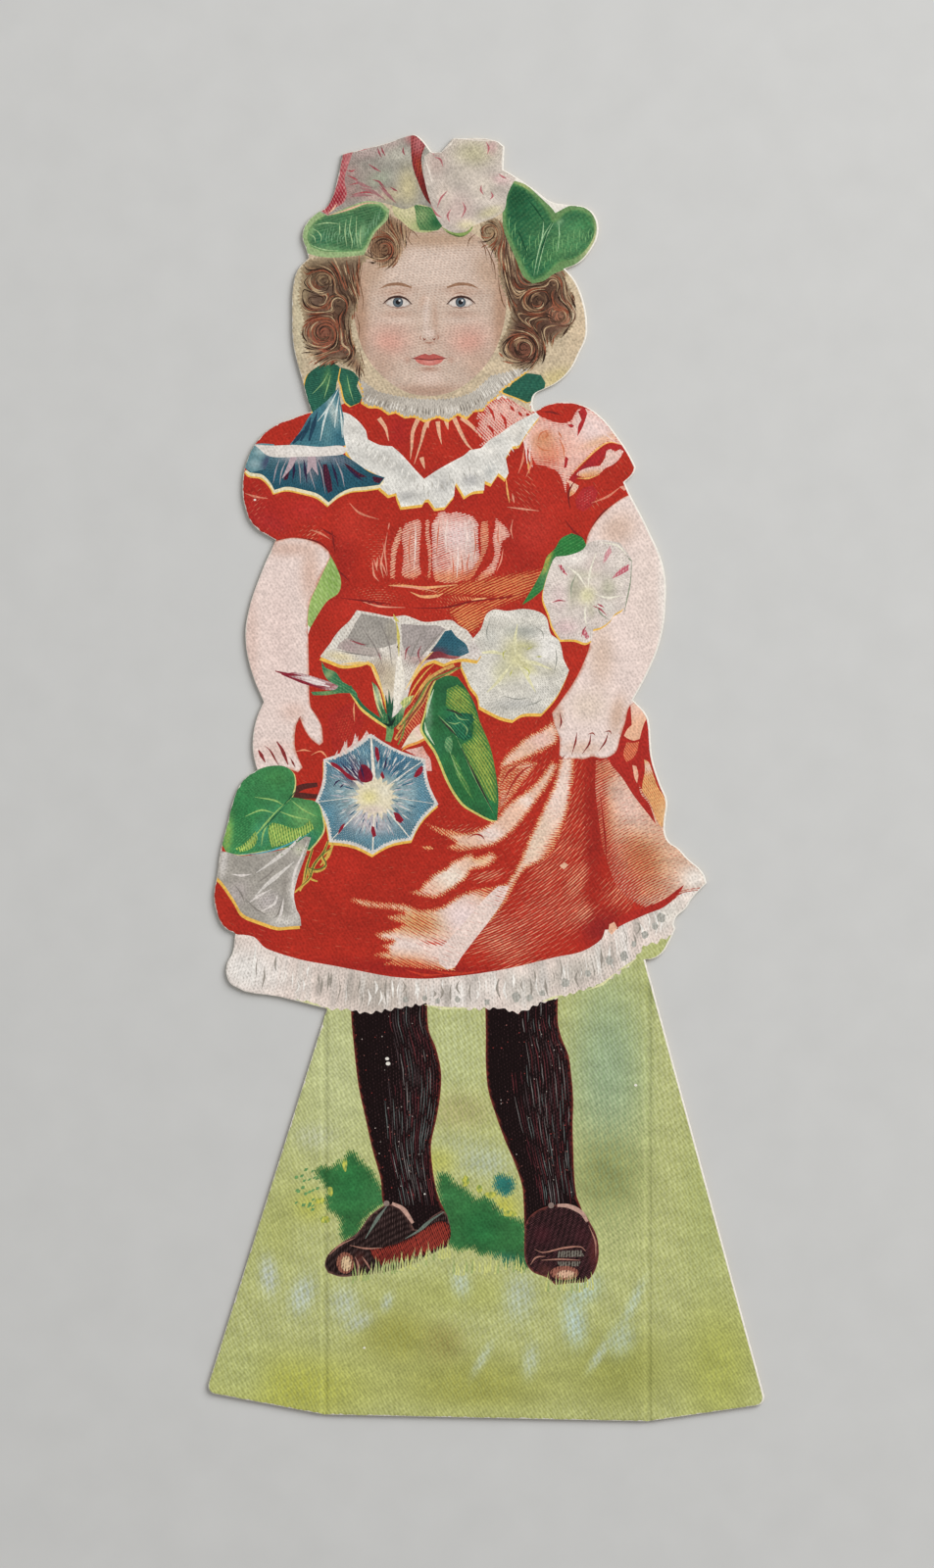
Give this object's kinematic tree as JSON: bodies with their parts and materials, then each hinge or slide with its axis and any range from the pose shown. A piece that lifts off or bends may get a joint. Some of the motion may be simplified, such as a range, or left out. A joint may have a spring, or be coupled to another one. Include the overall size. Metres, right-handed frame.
{
  "type": "paper doll",
  "caption": "Flat die-cut card doll with a printed figure and scored flaps at the foot that fold back so that it stands.",
  "frame": {"origin": "middle of the doll's bounding box, on the back face of the card", "axes": "+Z out of the printed face, +Y towards the head, +X to the right as the printed face is seen"},
  "size_m": [0.0604, 0.14, 0.0004],
  "materials": {
    "figure_card": "printed, satin",
    "flap_card": "printed, satin"
  },
  "bodies": {
    "figure": {"figure_panel": "figure_card"},
    "left_flap": {"left_flap": "flap_card"},
    "right_flap": {"right_flap": "flap_card"}
  },
  "joints": [
    {"name": "left_flap_fold", "type": "hinge", "parent": "figure", "child": "left_flap", "pos_m": [-0.01761, -0.0475, 0], "axis": [0, -1, 0], "range_deg": [0, 170]},
    {"name": "right_flap_fold", "type": "hinge", "parent": "figure", "child": "right_flap", "pos_m": [0.01759, -0.0455, 0], "axis": [0, 1, 0], "range_deg": [0, 170]}
  ]
}
